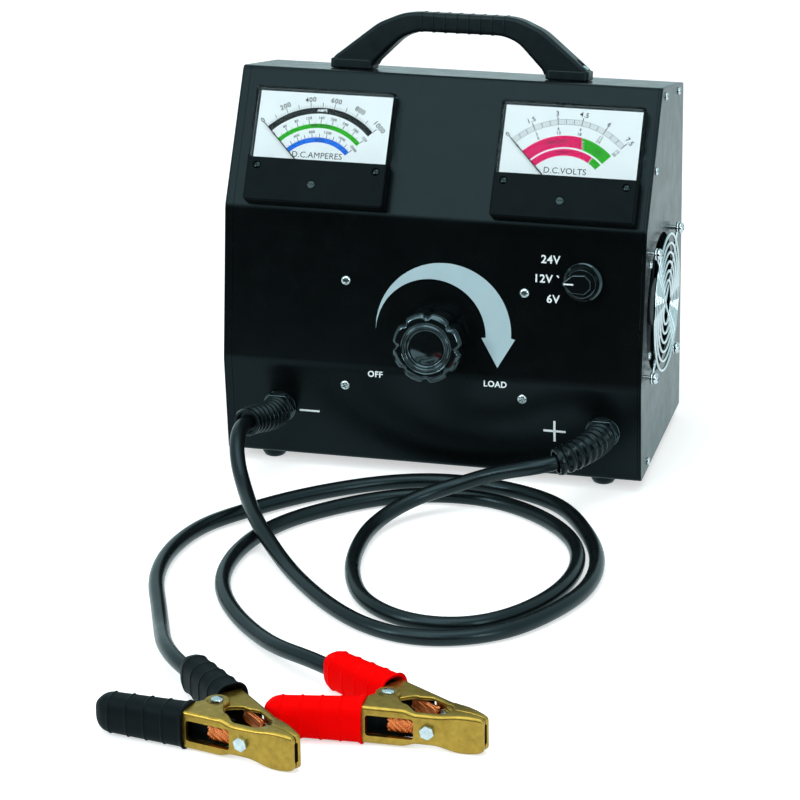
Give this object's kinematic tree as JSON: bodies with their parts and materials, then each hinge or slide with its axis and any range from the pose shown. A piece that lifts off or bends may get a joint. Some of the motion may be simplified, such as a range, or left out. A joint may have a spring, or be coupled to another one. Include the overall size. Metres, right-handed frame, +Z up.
{
  "type": "battery tester",
  "caption": "Carbon pile battery load tester: black steel case with two sloping panel meters, load knob, voltage selector, side fan, top handle and two leads with brass clamps.",
  "frame": {"origin": "under the middle of the case with its handle, knobs and fan guard, leads and clamps left out, on the surface that the feet stand on", "axes": "+Z up, -Y towards the front with the meters and knobs, +X towards the side with the fan"},
  "size_m": [0.3682, 0.7343, 0.3709],
  "materials": {
    "case_paint": "semi-gloss black powder coat",
    "black_plastic": "moulded black plastic",
    "knob_plastic": "polished black phenolic",
    "black_rubber": "black rubber and vinyl",
    "red_rubber": "soft red vinyl",
    "zinc_steel": "zinc-plated steel",
    "chrome_wire": "chrome-plated wire",
    "clear_cover": "clear acrylic",
    "scale_white": "printed white card",
    "brass": "stamped brass",
    "copper": "bare copper",
    "carbon": "pressed carbon discs"
  },
  "bodies": {
    "case": {"control_screw_lower_left": "zinc_steel", "control_screw_lower_right": "zinc_steel", "minus_gland_nut": "black_plastic", "plus_gland_nut": "black_plastic", "control_screw_upper_left": "zinc_steel", "control_screw_upper_right": "zinc_steel", "carbon_pile": "carbon", "pile_frame": "zinc_steel", "selector_switch": "black_plastic", "ammeter_case": "black_plastic", "ammeter_cover": "clear_cover", "ammeter_scale": "scale_white", "voltmeter_case": "black_plastic", "voltmeter_cover": "clear_cover", "voltmeter_scale": "scale_white", "carrying_handle": "black_plastic", "handle_screw_left": "zinc_steel", "handle_screw_right": "zinc_steel", "fan_frame": "black_plastic", "fan_guard": "chrome_wire", "fan_screw_1": "zinc_steel", "fan_screw_2": "zinc_steel", "fan_screw_3": "zinc_steel", "fan_screw_4": "zinc_steel", "front_panel": "case_paint", "left_side_panel": "case_paint", "right_side_panel": "case_paint", "rear_panel": "case_paint", "bottom_panel": "case_paint", "foot_front_left": "black_rubber", "foot_front_right": "black_rubber", "foot_rear_left": "black_rubber", "foot_rear_right": "black_rubber", "current_shunt": "copper", "minus_clamp_fixed_jaw": "brass", "minus_clamp_fixed_grip": "black_rubber", "minus_clamp_pin": "zinc_steel", "minus_clamp_spring": "zinc_steel", "plus_clamp_fixed_jaw": "brass", "plus_clamp_fixed_grip": "red_rubber", "plus_clamp_pin": "zinc_steel", "plus_clamp_spring": "zinc_steel", "minus_boot": "black_rubber", "minus_lead": "black_rubber", "plus_boot": "black_rubber", "plus_lead": "black_rubber"},
    "pressure_plate": {"pressure_plate": "zinc_steel"},
    "load_knob": {"load_knob": "knob_plastic", "load_screw": "zinc_steel"},
    "selector_knob": {"selector_knob": "knob_plastic"},
    "ammeter_needle": {"ammeter_needle": "black_plastic"},
    "voltmeter_needle": {"voltmeter_needle": "black_plastic"},
    "ammeter_zero_screw": {"ammeter_zero_screw": "black_plastic"},
    "voltmeter_zero_screw": {"voltmeter_zero_screw": "black_plastic"},
    "fan_rotor": {"fan_rotor": "black_plastic"},
    "minus_clamp_lever": {"minus_clamp_moving_jaw": "brass", "minus_clamp_moving_grip": "black_rubber"},
    "plus_clamp_lever": {"plus_clamp_moving_jaw": "brass", "plus_clamp_moving_grip": "red_rubber"}
  },
  "joints": [
    {"name": "pressure_plate_slide", "type": "slide", "parent": "case", "child": "pressure_plate", "axis": [0, 0.9906, -0.1366], "range_m": [0, 0.00146]},
    {"name": "load_knob_turn", "type": "hinge", "parent": "pressure_plate", "child": "load_knob", "pos_m": [-0.00208, -0.07818, 0.12174], "axis": [0, 0.9906, -0.1366], "range_deg": [0, 300]},
    {"name": "selector_knob_turn", "type": "hinge", "parent": "case", "child": "selector_knob", "pos_m": [0.12293, -0.06998, 0.18118], "axis": [0, -0.9906, 0.1366], "range_deg": [-30, 30]},
    {"name": "ammeter_needle_swing", "type": "hinge", "parent": "case", "child": "ammeter_needle", "pos_m": [-0.10808, -0.06042, 0.24882], "axis": [0, 0.8468, -0.5318], "range_deg": [0, 90], "stiffness_Nm_per_rad": 0.001, "springref_deg": -11.46},
    {"name": "ammeter_zero_screw_turn", "type": "hinge", "parent": "case", "child": "ammeter_zero_screw", "pos_m": [-0.10808, -0.05427, 0.24], "axis": [0, -0.8468, 0.5318], "range_deg": [-20, 20]},
    {"name": "voltmeter_needle_swing", "type": "hinge", "parent": "case", "child": "voltmeter_needle", "pos_m": [0.10193, -0.06042, 0.24882], "axis": [0, 0.8468, -0.5318], "range_deg": [0, 90], "stiffness_Nm_per_rad": 0.001, "springref_deg": -11.46},
    {"name": "voltmeter_zero_screw_turn", "type": "hinge", "parent": "case", "child": "voltmeter_zero_screw", "pos_m": [0.10193, -0.05427, 0.24], "axis": [0, -0.8468, 0.5318], "range_deg": [-20, 20]},
    {"name": "minus_clamp_squeeze", "type": "hinge", "parent": "case", "child": "minus_clamp_lever", "pos_m": [-0.03857, -0.581, 0.0162], "axis": [0, 0, -1], "range_deg": [0, 22], "stiffness_Nm_per_rad": 2, "springref_deg": -11.46},
    {"name": "plus_clamp_squeeze", "type": "hinge", "parent": "case", "child": "plus_clamp_lever", "pos_m": [0.07643, -0.542, 0.0162], "axis": [0, 0, -1], "range_deg": [0, 22], "stiffness_Nm_per_rad": 2, "springref_deg": -11.46},
    {"name": "fan_spin", "type": "hinge", "parent": "case", "child": "fan_rotor", "pos_m": [0.17392, -0.002, 0.144], "axis": [1, 0, 0], "continuous": true}
  ],
  "couplings": [
    {"joint": "load_knob_turn", "follows": "pressure_plate_slide", "rad_per_m": 3590.4}
  ]
}
